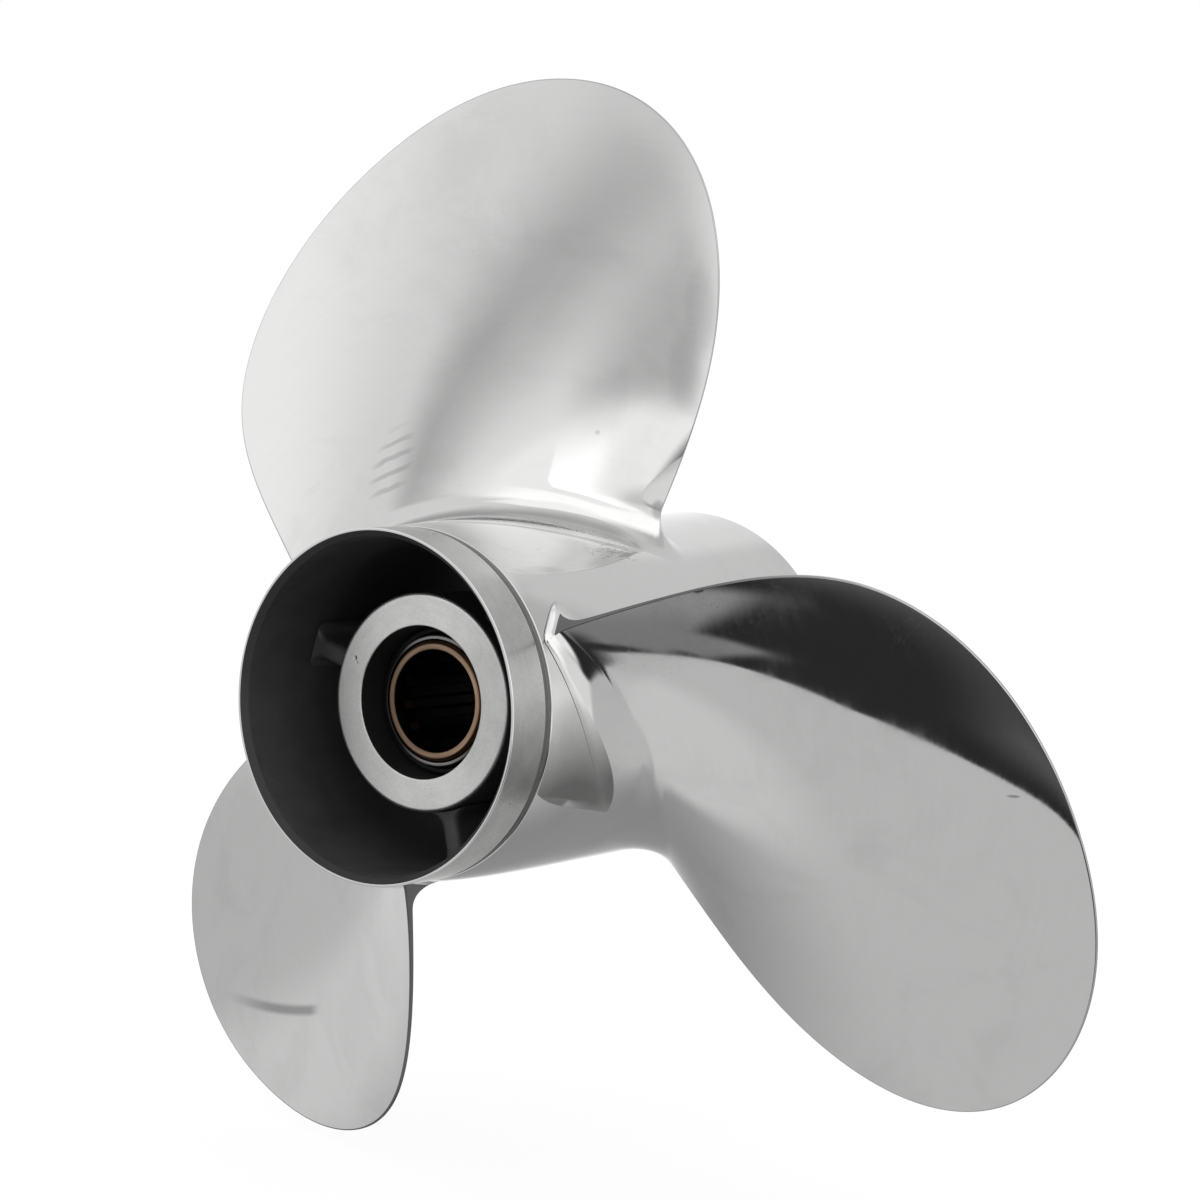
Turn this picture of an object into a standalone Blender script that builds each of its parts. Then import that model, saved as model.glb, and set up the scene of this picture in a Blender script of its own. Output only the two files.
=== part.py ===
"""Three-blade stainless propeller with a through-hub exhaust.

Metres, +Z up. The shaft axis is Y: the front (gearcase) end faces -Y and the
aft end faces +Y. The origin lies on the shaft axis, in the plane of the
bronze sleeve's front face. Blade 1 stands up. The propeller is right-handed.
"""
import math

import bpy
import bmesh
import numpy as np

MM = 0.001

# ---- driving dimensions, millimetres and degrees ----
MESH_GAP = 0.3          # room left between pieces that touch

# axial stations
Y_RIM = -22.1           # front rim of the barrel
Y_RING = -5.1           # machined front face of the inner hub
Y_SLEEVE = 0.0          # front face of the bronze sleeve
HUB_LENGTH = 128.3      # barrel, front rim to aft rim
Y_HUB_AFT = 74.0        # aft face of the inner hub
Y_SLEEVE_AFT = 78.0     # aft (washer) face of the sleeve

# barrel, outside
RIM_R = 38.75           # outer radius at the front rim
LAND_TAPER = 0.03       # growth of the front land, per mm
GROOVE_FROM = 10.8      # groove behind the front land, from the rim
GROOVE_TO = 13.1
GROOVE_DEPTH = 0.6
BODY_R = 39.15          # radius just behind the groove
SWELL = 1.75            # how far the body swells behind the groove
SWELL_LENGTH = 11.0
BODY_TAPER = 0.008      # slow growth along the body, per mm
FLARE_FROM = 80.0       # the aft flare starts here, from the rim
FLARE = 1.7             # and adds this much at the aft rim

# barrel, inside
LIP_R = 38.2            # thin front lip
BORE_R = 36.9           # exhaust bore
AFT_LIP_R = 41.9        # inner radius at the aft rim
BORE_FLARE_FROM = 84.0  # from the rim

# inner hub
HUB_R = 24.5
HUB_BORE_R = 17.05
HUB_EDGE = 0.9          # rounding of the ring face's outer edge

# ribs
RIB_PSI = (50.0, 170.0, 290.0)   # clockwise from the top, seen from the front
RIB_FROM = -1.4
RIB_TO = 70.0
RIB_THICK = 4.6
RIB_FLARE = 3.2         # fillet where a rib meets the hub and the barrel

# bush and sleeve
BUSH_FRONT = 2.2
BUSH_AFT = 71.0
COLLAR_R = 14.9
COLLAR_FRONT = 0.5
COLLAR_LENGTH = 4.5
SLEEVE_R = 13.6
SLEEVE_BEVEL = 0.7      # on the front face, outside
SLEEVE_BORE_R = 11.5
SPLINE_MINOR_R = 10.2
SPLINE_MAJOR_R = 11.3
SPLINE_TEETH = 13
SPLINE_FROM = 4.5       # smooth counterbore in front of the splines

# blades
BLADE_COUNT = 3
BLADE_PHASE = -7.6      # blade 1's reference line, clockwise from the top
ROOT_DEPTH = 52.1       # reference line crosses the hub here, from the rim
RAKE = 7.46             # how far the reference line leans aft, per hub radius
RAKE_CURVE = -0.55
PITCH_ROOT = 272.6      # advance in one turn at the hub radius
PITCH_FALL = 13.8       # and how much it falls per hub radius outwards
# outline stations from the leading root, round the tip, to the trailing root:
# radius in mm, angle from the reference line in degrees
OUTLINE = (
    (38.9, -46.5), (71.7, -42.8), (100.5, -37.5), (122.8, -26.1),
    (138.5, -12.2), (147.6, 0.9), (145.1, 13.4), (125.9, 24.0),
    (90.8, 31.9), (57.4, 35.5), (38.75, 37.2),
)
THICK_ROOT = 7.0        # blade thickness at mid-chord, at the root
THICK_TIP = 0.9
EDGE_THICK = 0.9        # thickness of the blunt edges
EDGE_ROOT = 1.3         # and what they gain at the root,
EDGE_FADE = 9.0         # fading over this height
EDGE_PROUD = 0.25       # how far its polygon stands outside the curve it follows
EDGE_CORNER = 0.3       # how far the faces stop short of the outline
FILLET = 3.0            # root fillet radius, front face at the leading edge
FILLET_AFT = 9.0        # front face from mid-chord aft
FILLET_BACK = 8.0       # back face
FILLET_LEAD = 1.5       # round the leading edge
FILLET_TRAIL = 10.0     # and round the trailing edge

RING_STEPS = 72         # facets round the large turned pieces
SMALL_STEPS = 52        # and round the small ones

COLLECTION = "Ship_propeller"


# ---- helpers ----
def clear_scene():
    for obj in list(bpy.data.objects):
        bpy.data.objects.remove(obj, do_unlink=True)
    for coll in list(bpy.data.collections):
        bpy.data.collections.remove(coll)
    for mesh in list(bpy.data.meshes):
        bpy.data.meshes.remove(mesh)


def make_collection(name, hide=False):
    coll = bpy.data.collections.new(name)
    bpy.context.scene.collection.children.link(coll)
    coll.hide_render = hide
    return coll


def make_material(name, color, roughness, metallic):
    mat = bpy.data.materials.new(name)
    mat.use_nodes = True
    bsdf = mat.node_tree.nodes["Principled BSDF"]
    bsdf.inputs["Base Color"].default_value = (*color, 1.0)
    bsdf.inputs["Roughness"].default_value = roughness
    bsdf.inputs["Metallic"].default_value = metallic
    return mat


def link(obj, coll, parent, mat=None):
    coll.objects.link(obj)
    obj.parent = parent
    if mat is not None:
        obj.data.materials.clear()
        obj.data.materials.append(mat)
    return obj


def turned(name, profile, steps, coll, parent, mat):
    """A body turned about Y. The profile is (radius, y) in mm and runs down
    the outer side from the highest y, then back up the inner side."""
    mesh = bpy.data.meshes.new(name)
    bm = bmesh.new()
    verts = [bm.verts.new((r * MM, 0.0, y * MM)) for r, y in profile]
    for i, v in enumerate(verts):
        bm.edges.new((v, verts[(i + 1) % len(verts)]))
    bm.to_mesh(mesh)
    bm.free()
    obj = bpy.data.objects.new(name, mesh)
    link(obj, coll, parent, mat)
    obj.rotation_euler = (-math.pi / 2, 0.0, 0.0)
    screw = obj.modifiers.new("Turn", "SCREW")
    screw.axis = "Z"
    screw.angle = 2 * math.pi
    screw.screw_offset = 0.0
    screw.steps = steps
    screw.render_steps = steps
    screw.use_merge_vertices = True
    screw.merge_threshold = 0.00001
    screw.use_smooth_shade = True
    screw.use_normal_calculate = True
    return obj


def spline_through(values, s):
    """Cubic spline through evenly spaced values, read at s in 0..1, with the
    third derivative continuous at the second and the last but one."""
    y = np.asarray(values, float)
    n = len(y) - 1
    h = 1.0 / n
    mat = np.zeros((n + 1, n + 1))
    rhs = np.zeros(n + 1)
    mat[0, :3] = (1.0, -2.0, 1.0)
    mat[n, n - 2:] = (1.0, -2.0, 1.0)
    for i in range(1, n):
        mat[i, i - 1:i + 2] = (1.0, 4.0, 1.0)
        rhs[i] = 6.0 * (y[i - 1] - 2.0 * y[i] + y[i + 1]) / h ** 2
    m = np.linalg.solve(mat, rhs)
    s = np.clip(np.asarray(s, float), 0.0, 1.0)
    i = np.minimum((s / h).astype(int), n - 1)
    t = s - i * h
    a = (m[i + 1] - m[i]) / (6.0 * h)
    b = m[i] / 2.0
    c = (y[i + 1] - y[i]) / h - h * (2.0 * m[i] + m[i + 1]) / 6.0
    return ((a * t + b) * t + c) * t + y[i]


# ---- the hub's shape ----
def barrel_radius(y):
    """Outer radius of the barrel behind its groove, at axial station y."""
    d = y - Y_RIM
    back = np.maximum(d - GROOVE_TO, 0.0)
    r = BODY_R + SWELL * (1.0 - np.exp(-back / SWELL_LENGTH)) + BODY_TAPER * back
    flare = np.maximum(d - FLARE_FROM, 0.0) / (HUB_LENGTH - FLARE_FROM)
    return r + FLARE * flare ** 2


def bore_radius(y):
    """Inner radius of the barrel behind its front lip."""
    d = y - Y_RIM
    t = np.clip((d - BORE_FLARE_FROM) / (HUB_LENGTH - BORE_FLARE_FROM), 0.0, 1.0)
    return BORE_R + (AFT_LIP_R - BORE_R) * t ** 1.6


def barrel_profile():
    aft = Y_RIM + HUB_LENGTH
    outer = [(barrel_radius(aft) - 0.5, aft), (barrel_radius(aft), aft - 0.5)]
    for d in (122.0, 115.0, 107.0, 98.0, 88.0, 70.0, 52.0, 40.0, 31.0, 24.5,
              19.5, 16.0):
        outer.append((float(barrel_radius(Y_RIM + d)), Y_RIM + d))
    land = RIM_R + LAND_TAPER * GROOVE_FROM
    outer += [
        (BODY_R, Y_RIM + GROOVE_TO),
        (BODY_R - GROOVE_DEPTH, Y_RIM + GROOVE_TO - 0.4),
        (land - GROOVE_DEPTH, Y_RIM + GROOVE_FROM + 0.4),
        (land, Y_RIM + GROOVE_FROM),
        (RIM_R, Y_RIM + 0.35),
        (RIM_R - 0.3, Y_RIM),
    ]
    inner = [(LIP_R, Y_RIM), (BORE_R, Y_RIM + 1.6)]
    for d in (BORE_FLARE_FROM, 93.0, 102.0, 111.0, 120.0):
        inner.append((float(bore_radius(Y_RIM + d)), Y_RIM + d))
    inner.append((AFT_LIP_R, aft))
    return outer + inner


def hub_profile():
    edge = HUB_EDGE
    return [
        (HUB_R - 1.0, Y_HUB_AFT), (HUB_R, Y_HUB_AFT - 1.0),
        (HUB_R, Y_RING + edge), (HUB_R - 0.29 * edge, Y_RING + 0.29 * edge),
        (HUB_R - edge, Y_RING),
        (HUB_BORE_R + 0.5, Y_RING), (HUB_BORE_R, Y_RING + 0.5),
        (HUB_BORE_R, Y_HUB_AFT - 0.6), (HUB_BORE_R + 0.6, Y_HUB_AFT),
    ]


def bush_profile():
    out = HUB_BORE_R - MESH_GAP
    inn = SLEEVE_R + MESH_GAP
    step = COLLAR_R + MESH_GAP
    seat = COLLAR_FRONT + COLLAR_LENGTH + MESH_GAP
    return [
        (out, BUSH_AFT), (out, BUSH_FRONT + 0.6), (out - 0.6, BUSH_FRONT),
        (step, BUSH_FRONT), (step, seat), (inn, seat), (inn, BUSH_AFT),
    ]


def collar_profile():
    inn = SLEEVE_R + MESH_GAP
    y0 = COLLAR_FRONT
    return [
        (COLLAR_R, y0 + COLLAR_LENGTH), (COLLAR_R, y0 + 0.5),
        (COLLAR_R - 0.5, y0),
        (inn, y0), (inn, y0 + COLLAR_LENGTH),
    ]


def sleeve_profile():
    return [
        (SLEEVE_R - 0.5, Y_SLEEVE_AFT), (SLEEVE_R, Y_SLEEVE_AFT - 0.5),
        (SLEEVE_R, Y_SLEEVE + SLEEVE_BEVEL), (SLEEVE_R - SLEEVE_BEVEL, Y_SLEEVE),
        (SLEEVE_BORE_R + 0.2, Y_SLEEVE), (SLEEVE_BORE_R, Y_SLEEVE + 0.3),
        (SLEEVE_BORE_R, SPLINE_FROM - 1.0), (SPLINE_MINOR_R, SPLINE_FROM + 0.3),
        (SPLINE_MINOR_R, Y_SLEEVE_AFT),
    ]


def spline_cutter(name, coll, parent):
    """The toothed prism that leaves the sleeve's internal splines."""
    curve = bpy.data.curves.new(name, "CURVE")
    curve.dimensions = "2D"
    curve.fill_mode = "BOTH"
    length = Y_SLEEVE_AFT - SPLINE_FROM + 4.0
    curve.extrude = length / 2 * MM
    pitch = 2 * math.pi / SPLINE_TEETH
    points = []
    for k in range(SPLINE_TEETH):
        a = k * pitch
        for frac, r in ((-0.29, SPLINE_MINOR_R - 0.4), (-0.21, SPLINE_MAJOR_R),
                        (0.21, SPLINE_MAJOR_R), (0.29, SPLINE_MINOR_R - 0.4)):
            t = a + frac * pitch
            points.append((r * math.cos(t) * MM, r * math.sin(t) * MM))
    poly = curve.splines.new("POLY")
    poly.points.add(len(points) - 1)
    for p, (x, y) in zip(poly.points, points):
        p.co = (x, y, 0.0, 1.0)
    poly.use_cyclic_u = True
    tmp = bpy.data.objects.new(name + "_outline", curve)
    bpy.context.scene.collection.objects.link(tmp)
    bpy.context.view_layer.update()
    evaluated = tmp.evaluated_get(bpy.context.evaluated_depsgraph_get())
    mesh = bpy.data.meshes.new_from_object(evaluated)
    bm = bmesh.new()
    bm.from_mesh(mesh)
    bmesh.ops.remove_doubles(bm, verts=bm.verts, dist=0.00001)
    bmesh.ops.recalc_face_normals(bm, faces=bm.faces)
    bm.to_mesh(mesh)
    bm.free()
    bpy.data.objects.remove(tmp, do_unlink=True)
    obj = bpy.data.objects.new(name, mesh)
    coll.objects.link(obj)
    obj.parent = parent
    obj.rotation_euler = (-math.pi / 2, 0.0, 0.0)
    obj.location = (0.0, (SPLINE_FROM - 2.0 + length / 2) * MM, 0.0)
    obj.hide_render = True
    obj.display_type = "WIRE"
    return obj


# ---- ribs ----
def rib_mesh(name):
    """A web on the axis plane X = 0, standing in +Z, flared at both ends, its
    outer end following the barrel's bore."""
    inner = HUB_R + MESH_GAP
    stations = [RIB_FROM, RIB_FROM + 6.0, 61.0, 66.0, RIB_TO]
    mesh = bpy.data.meshes.new(name)
    bm = bmesh.new()
    rows = []
    for y in stations:
        outer = float(bore_radius(y)) - MESH_GAP - 0.15
        half = RIB_THICK / 2 if y > RIB_FROM else RIB_THICK / 2 - 0.5
        side = []
        for h in (0.0, 0.25, 0.6, 1.0):
            grow = RIB_FLARE * (1.0 - math.sqrt(1.0 - (1.0 - h) ** 2))
            side.append((half + grow, inner + h * RIB_FLARE))
        for h in (1.0, 0.6, 0.25, 0.0):
            grow = RIB_FLARE * (1.0 - math.sqrt(1.0 - (1.0 - h) ** 2))
            side.append((half + grow, outer - h * RIB_FLARE))

        def at(x, r, end):
            # the end faces follow the round walls: keep the radius, not z
            return math.sqrt(max(r * r - x * x, 0.0)) if end else r

        loop = []
        for k, (x, r) in enumerate(side):
            loop.append((x, at(x, r, k in (0, len(side) - 1))))
        top = math.sqrt(outer ** 2)
        loop.append((0.0, top))
        for k, (x, r) in reversed(list(enumerate(side))):
            loop.append((-x, at(x, r, k in (0, len(side) - 1))))
        loop.append((0.0, inner))
        rows.append([bm.verts.new((x * MM, y * MM, z * MM)) for x, z in loop])
    n = len(rows[0])
    for a, b in zip(rows[:-1], rows[1:]):
        for i in range(n):
            j = (i + 1) % n
            bm.faces.new((a[i], a[j], b[j], b[i]))
    bm.faces.new(list(reversed(rows[0])))
    bm.faces.new(rows[-1])
    bmesh.ops.recalc_face_normals(bm, faces=bm.faces)
    bm.to_mesh(mesh)
    bm.free()
    return mesh


# ---- blades ----
def outline_at(s):
    """Radius and angle of the blade's edge, s from the leading root (0) round
    the tip to the trailing root (1)."""
    radii = [r for r, _ in OUTLINE]
    angles = [math.radians(a) for _, a in OUTLINE]
    return spline_through(radii, s), spline_through(angles, s)


def blade_station(r, th):
    """Axial station of the blade's reference surface at a radius and angle."""
    x = r / RIM_R - 1.0
    pitch = PITCH_ROOT - PITCH_FALL * x
    return (Y_RIM + ROOT_DEPTH + RAKE * x + RAKE_CURVE * x * x
            + pitch / (2 * math.pi) * th)


def edge_split():
    """The outline parameter at the tip, where the radius is largest."""
    s = np.linspace(0.3, 0.8, 2001)
    r, _ = outline_at(s)
    k = int(np.argmax(r))
    return float(s[k]), float(r[k])


def edge_parameter(radius, lo, hi, rising):
    """The outline parameter at a radius, on the leading or trailing side."""
    for _ in range(60):
        mid = 0.5 * (lo + hi)
        r = float(outline_at(mid)[0])
        if (r < radius) == rising:
            lo = mid
        else:
            hi = mid
    return 0.5 * (lo + hi)


def blade_mesh(name, fillet_rows=5, rows=11, across=6, edge_steps=6):
    """A closed blade: rows of equal radius near the root that turn round the
    tip, from a spine at mid-chord out to the edges, on both faces."""
    s_tip, r_tip = edge_split()
    base = RIM_R
    height = r_tip - base
    heights = [FILLET_AFT * (1.0 - math.cos(0.5 * math.pi * i / fillet_rows))
               for i in range(fillet_rows)]
    heights += [FILLET_AFT + (height - FILLET_AFT) * math.sin(0.5 * math.pi * i / rows)
                for i in range(rows)]
    lead, trail = [], []
    for h in heights:
        lead.append(edge_parameter(base + h, 0.0, s_tip, True))
        trail.append(edge_parameter(base + h, s_tip, 1.0, False))
    params = lead + [s_tip] + trail[::-1]
    levels = heights + [height] + heights[::-1]
    count = len(params)
    middle = count // 2

    th_lead = float(outline_at(lead[0])[1])
    th_trail = float(outline_at(trail[0])[1])
    th_root = 0.5 * (th_lead + th_trail)
    spine_top = 0.87 * height
    th_top = math.radians(3.0)

    def spine(h):
        level = h - (height - spine_top) * (h / height) ** 6
        return base + level, th_root + (th_top - th_root) * level / spine_top

    # the chord's ends at any radius, read from the two sides of the outline
    s_l = np.linspace(0.0, s_tip, 400)
    s_t = np.linspace(1.0, s_tip, 400)
    r_l, a_l = outline_at(s_l)
    r_t, a_t = outline_at(s_t)
    r_l[0] = r_t[0] = min(r_l[0], r_t[0])
    order_t = np.argsort(r_t)

    def edge_thick(h):
        return EDGE_THICK + EDGE_ROOT * math.exp(-max(h, 0.0) / EDGE_FADE)

    def chord(r, th):
        lo = float(np.interp(r, r_l, a_l))
        hi = float(np.interp(r, r_t[order_t], a_t[order_t]))
        return min(max((th - lo) / max(hi - lo, 1e-6), 0.0), 1.0)

    def fillet(c, side):
        t = min(c / 0.5, 1.0)
        front = FILLET + (FILLET_AFT - FILLET) * t * (2.0 - t)
        return front if side > 0 else FILLET_BACK

    def thickness(r, th):
        c = chord(r, th)
        u = min(max((r - base) / height, 0.0), 1.0)
        full = THICK_TIP + (THICK_ROOT - THICK_TIP) * (1.0 - u) ** 1.25
        edge = edge_thick(r - base)
        return edge + max(full - edge, 0.0) * 4.0 * c * (1.0 - c)

    def point(r, th, h, face, along):
        """A skin point: face is the offset across the blade (+ is forward),
        along is the offset outwards past the edge, both in mm."""
        y = blade_station(r, th)
        dy = (PITCH_ROOT - PITCH_FALL * (r / RIM_R - 1.0)) / (2 * math.pi)
        ln = math.hypot(r, dy)
        cx, cy = r / ln, dy / ln          # chord direction, round and axial
        nx, ny = cy, -cx                  # across the blade, forward
        a = r * th + cx * along + nx * face
        y2 = y + cy * along + ny * face
        fade = max(0.0, 1.0 - h / 30.0) ** 2
        root = float(barrel_radius(y2)) + MESH_GAP
        r2 = r + (root - base) * fade
        psi = math.radians(BLADE_PHASE) + a / r
        return (r2 * math.sin(psi) * MM, y2 * MM, r2 * math.cos(psi) * MM)

    def flare(h, radius):
        if h >= radius:
            return 0.0
        return radius - math.sqrt(radius ** 2 - (radius - h) ** 2)

    mesh = bpy.data.meshes.new(name)
    bm = bmesh.new()
    skins = {}
    for side in (1, -1):
        grid = []
        for i in range(count):
            r_e, th_e = (float(v) for v in outline_at(params[i]))
            r_s, th_s = spine(levels[i])
            direction = -1.0 if i <= middle else 1.0
            line = []
            for j in range(across + 1):
                if j == 0 and i > middle:
                    line.append(grid[count - 1 - i][0])
                    continue
                w = math.sin(0.5 * math.pi * j / across) if across > 1 else j
                r = r_s + w * (r_e - r_s)
                th = th_s + w * (th_e - th_s)
                t = thickness(r, th)
                h = r - base if levels[i] > 0 else 0.0
                half_edge = edge_thick(h) / 2
                off = t - half_edge if side > 0 else half_edge
                off += flare(h, fillet(chord(r, th), side))
                inset = -EDGE_CORNER * w ** 8 * direction
                line.append(bm.verts.new(
                    point(r, th, h, side * off, inset)))
            grid.append(line)
        skins[side] = grid

    # blunt edge between the two faces, a little proud of the outline so that
    # its short chords do not cut the curve
    edge = []
    for i in range(count):
        r_e, th_e = (float(v) for v in outline_at(params[i]))
        direction = -1.0 if i <= middle else 1.0
        h = r_e - base if levels[i] > 0 else 0.0
        foot = FILLET_LEAD if i <= middle else FILLET_TRAIL
        if i == middle:
            r_e += EDGE_PROUD
        line = [skins[1][i][across]]
        for k in range(1, edge_steps):
            phi = math.pi * (0.5 - k / edge_steps)
            swell = flare(h, fillet(0.0 if i <= middle else 1.0, phi))
            face = (edge_thick(h) / 2 + swell) * math.sin(phi)
            along = (flare(h, foot) * math.cos(phi) + EDGE_PROUD) * direction
            if i == middle:
                along = 0.0
            line.append(bm.verts.new(point(r_e, th_e, h, face, along)))
        line.append(skins[-1][i][across])
        edge.append(line)

    for side in (1, -1):
        grid = skins[side]
        for i in range(count - 1):
            for j in range(across):
                quad = (grid[i][j], grid[i + 1][j],
                        grid[i + 1][j + 1], grid[i][j + 1])
                quad = [v for k, v in enumerate(quad) if v not in quad[:k]]
                bm.faces.new(quad)
    for i in range(count - 1):
        for k in range(edge_steps):
            bm.faces.new((edge[i][k], edge[i + 1][k],
                          edge[i + 1][k + 1], edge[i][k + 1]))

    # root cap that follows the barrel: rows across the blade
    front = [skins[1][0][j] for j in range(across, -1, -1)]
    front += [skins[1][-1][j] for j in range(1, across + 1)]
    back = [skins[-1][0][j] for j in range(across, -1, -1)]
    back += [skins[-1][-1][j] for j in range(1, across + 1)]

    def on_barrel(va, vb, f):
        a, b = va.co / MM, vb.co / MM
        y = a.y + (b.y - a.y) * f
        pa, pb = math.atan2(a.x, a.z), math.atan2(b.x, b.z)
        psi = pa + (pb - pa) * f
        r = float(barrel_radius(y)) + MESH_GAP
        return bm.verts.new((r * math.sin(psi) * MM, y * MM,
                             r * math.cos(psi) * MM))

    cap = []
    for va, vb in zip(front, back):
        cap.append([va] + [on_barrel(va, vb, k / edge_steps)
                           for k in range(1, edge_steps)] + [vb])
    for a, b in zip(cap[:-1], cap[1:]):
        for k in range(edge_steps):
            bm.faces.new((a[k], a[k + 1], b[k + 1], b[k]))
    for row, rim in ((cap[0], edge[0]), (cap[-1], edge[-1])):
        for k in range(edge_steps):
            quad = (row[k], row[k + 1], rim[k + 1], rim[k])
            quad = [v for n, v in enumerate(quad) if v not in quad[:n]]
            bm.faces.new(quad)

    bmesh.ops.recalc_face_normals(bm, faces=bm.faces)
    bm.to_mesh(mesh)
    bm.free()
    mesh.shade_smooth()
    return mesh


# ---- assembly ----
def main():
    clear_scene()
    coll = make_collection(COLLECTION)
    cutters = make_collection("Cutters", hide=True)

    steel = make_material("Polished_stainless", (0.60, 0.60, 0.59), 0.22, 1.0)
    bare = make_material("Machined_stainless", (0.62, 0.62, 0.61), 0.38, 1.0)
    inside = make_material("Cast_stainless_inside", (0.16, 0.16, 0.16), 0.55, 1.0)
    bronze = make_material("Bronze", (0.60, 0.36, 0.20), 0.35, 1.0)
    rubber = make_material("Black_rubber", (0.02, 0.02, 0.02), 0.65, 0.0)

    axis = bpy.data.objects.new("shaft_axis", None)
    axis.empty_display_size = 0.05
    coll.objects.link(axis)

    turned("outer_barrel", barrel_profile(), RING_STEPS, coll, axis, steel)
    turned("inner_hub", hub_profile(), SMALL_STEPS, coll, axis, bare)
    turned("rubber_bush", bush_profile(), SMALL_STEPS, coll, axis, rubber)
    turned("bush_collar", collar_profile(), SMALL_STEPS, coll, axis, bare)
    sleeve = turned("spline_sleeve", sleeve_profile(), SMALL_STEPS, coll, axis,
                    bronze)
    cutter = spline_cutter("spline_tool", cutters, axis)
    cut = sleeve.modifiers.new("Splines", "BOOLEAN")
    cut.operation = "DIFFERENCE"
    cut.solver = "EXACT"
    cut.object = cutter

    web = rib_mesh("rib")
    for k, psi in enumerate(RIB_PSI):
        mesh = web if k == 0 else web.copy()
        obj = bpy.data.objects.new("rib_%d" % (k + 1), mesh)
        link(obj, coll, axis, inside)
        obj.rotation_euler = (0.0, math.radians(psi), 0.0)

    blade = blade_mesh("blade")
    for k in range(BLADE_COUNT):
        mesh = blade if k == 0 else blade.copy()
        obj = bpy.data.objects.new("blade_%d" % (k + 1), mesh)
        link(obj, coll, axis, steel)
        obj.rotation_euler = (0.0, 2 * math.pi * k / BLADE_COUNT, 0.0)

    bpy.context.view_layer.update()


main()
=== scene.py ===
"""The looks of the three-blade stainless propeller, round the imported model."""

import math

import bmesh
import bpy
import numpy as np
from mathutils import Matrix, Vector


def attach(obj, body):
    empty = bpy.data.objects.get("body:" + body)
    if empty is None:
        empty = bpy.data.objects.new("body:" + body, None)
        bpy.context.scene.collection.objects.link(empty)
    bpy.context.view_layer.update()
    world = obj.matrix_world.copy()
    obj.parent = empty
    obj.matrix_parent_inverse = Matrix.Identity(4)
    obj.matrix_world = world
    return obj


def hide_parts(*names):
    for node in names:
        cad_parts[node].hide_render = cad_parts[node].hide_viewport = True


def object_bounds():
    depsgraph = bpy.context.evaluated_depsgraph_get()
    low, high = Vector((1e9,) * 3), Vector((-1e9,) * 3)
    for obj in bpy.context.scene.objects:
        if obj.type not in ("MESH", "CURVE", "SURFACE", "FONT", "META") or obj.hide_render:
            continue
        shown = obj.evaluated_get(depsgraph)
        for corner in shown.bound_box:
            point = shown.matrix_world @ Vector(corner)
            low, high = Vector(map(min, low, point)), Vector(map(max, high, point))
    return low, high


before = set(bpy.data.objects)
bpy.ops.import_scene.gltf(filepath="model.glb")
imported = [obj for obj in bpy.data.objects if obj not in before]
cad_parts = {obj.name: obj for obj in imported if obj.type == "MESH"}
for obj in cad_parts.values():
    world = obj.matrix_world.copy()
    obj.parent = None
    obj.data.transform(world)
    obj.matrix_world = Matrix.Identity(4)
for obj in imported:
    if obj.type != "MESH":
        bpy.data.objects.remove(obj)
MM = 0.001
cad_lo, cad_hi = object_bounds()

# ---- the part's own dimensions, millimetres and degrees ----
Y_RIM, Y_RING, Y_SLEEVE = -22.1, -5.1, 0.0
HUB_LENGTH, Y_HUB_AFT, Y_SLEEVE_AFT = 128.3, 74.0, 78.0
RIM_R, LAND_TAPER = 38.75, 0.03
GROOVE_FROM, GROOVE_TO, GROOVE_DEPTH = 10.8, 13.1, 0.6
BODY_R, SWELL, SWELL_LENGTH, BODY_TAPER = 39.15, 1.75, 11.0, 0.008
FLARE_FROM, FLARE = 80.0, 1.7
LIP_R, BORE_R, AFT_LIP_R, BORE_FLARE_FROM = 38.2, 36.9, 41.9, 84.0
HUB_R, HUB_BORE_R, HUB_EDGE = 24.5, 17.05, 0.9
RIB_PSI, RIB_FROM, RIB_TO, RIB_THICK, RIB_FLARE = (50.0, 170.0, 290.0), -1.4, 70.0, 4.6, 3.2
BUSH_FRONT, BUSH_AFT = 2.2, 71.0
COLLAR_R, COLLAR_FRONT, COLLAR_LENGTH = 14.9, 0.5, 4.5
SLEEVE_R, SLEEVE_BORE_R, SLEEVE_BEVEL = 13.6, 11.5, 0.7
SPLINE_MINOR_R, SPLINE_MAJOR_R, SPLINE_TEETH, SPLINE_FROM = 10.2, 11.3, 13, 4.5
BLADE_COUNT, BLADE_PHASE = 3, -7.6
ROOT_DEPTH, RAKE, RAKE_CURVE = 52.1, 7.46, -0.55
PITCH_ROOT, PITCH_FALL = 272.6, 13.8
OUTLINE = (
    (38.9, -46.5), (71.7, -42.8), (100.5, -37.5), (122.8, -26.1),
    (138.5, -12.2), (147.6, 0.9), (145.1, 13.4), (125.9, 24.0),
    (90.8, 31.9), (57.4, 35.5), (38.75, 37.2),
)
THICK_ROOT, THICK_TIP = 7.0, 0.9
EDGE_THICK, EDGE_ROOT, EDGE_FADE, EDGE_CORNER = 0.9, 1.3, 9.0, 0.3
FILLET, FILLET_AFT, FILLET_BACK = 3.0, 9.0, 8.0
FILLET_LEAD, FILLET_TRAIL = 1.5, 10.0


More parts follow.
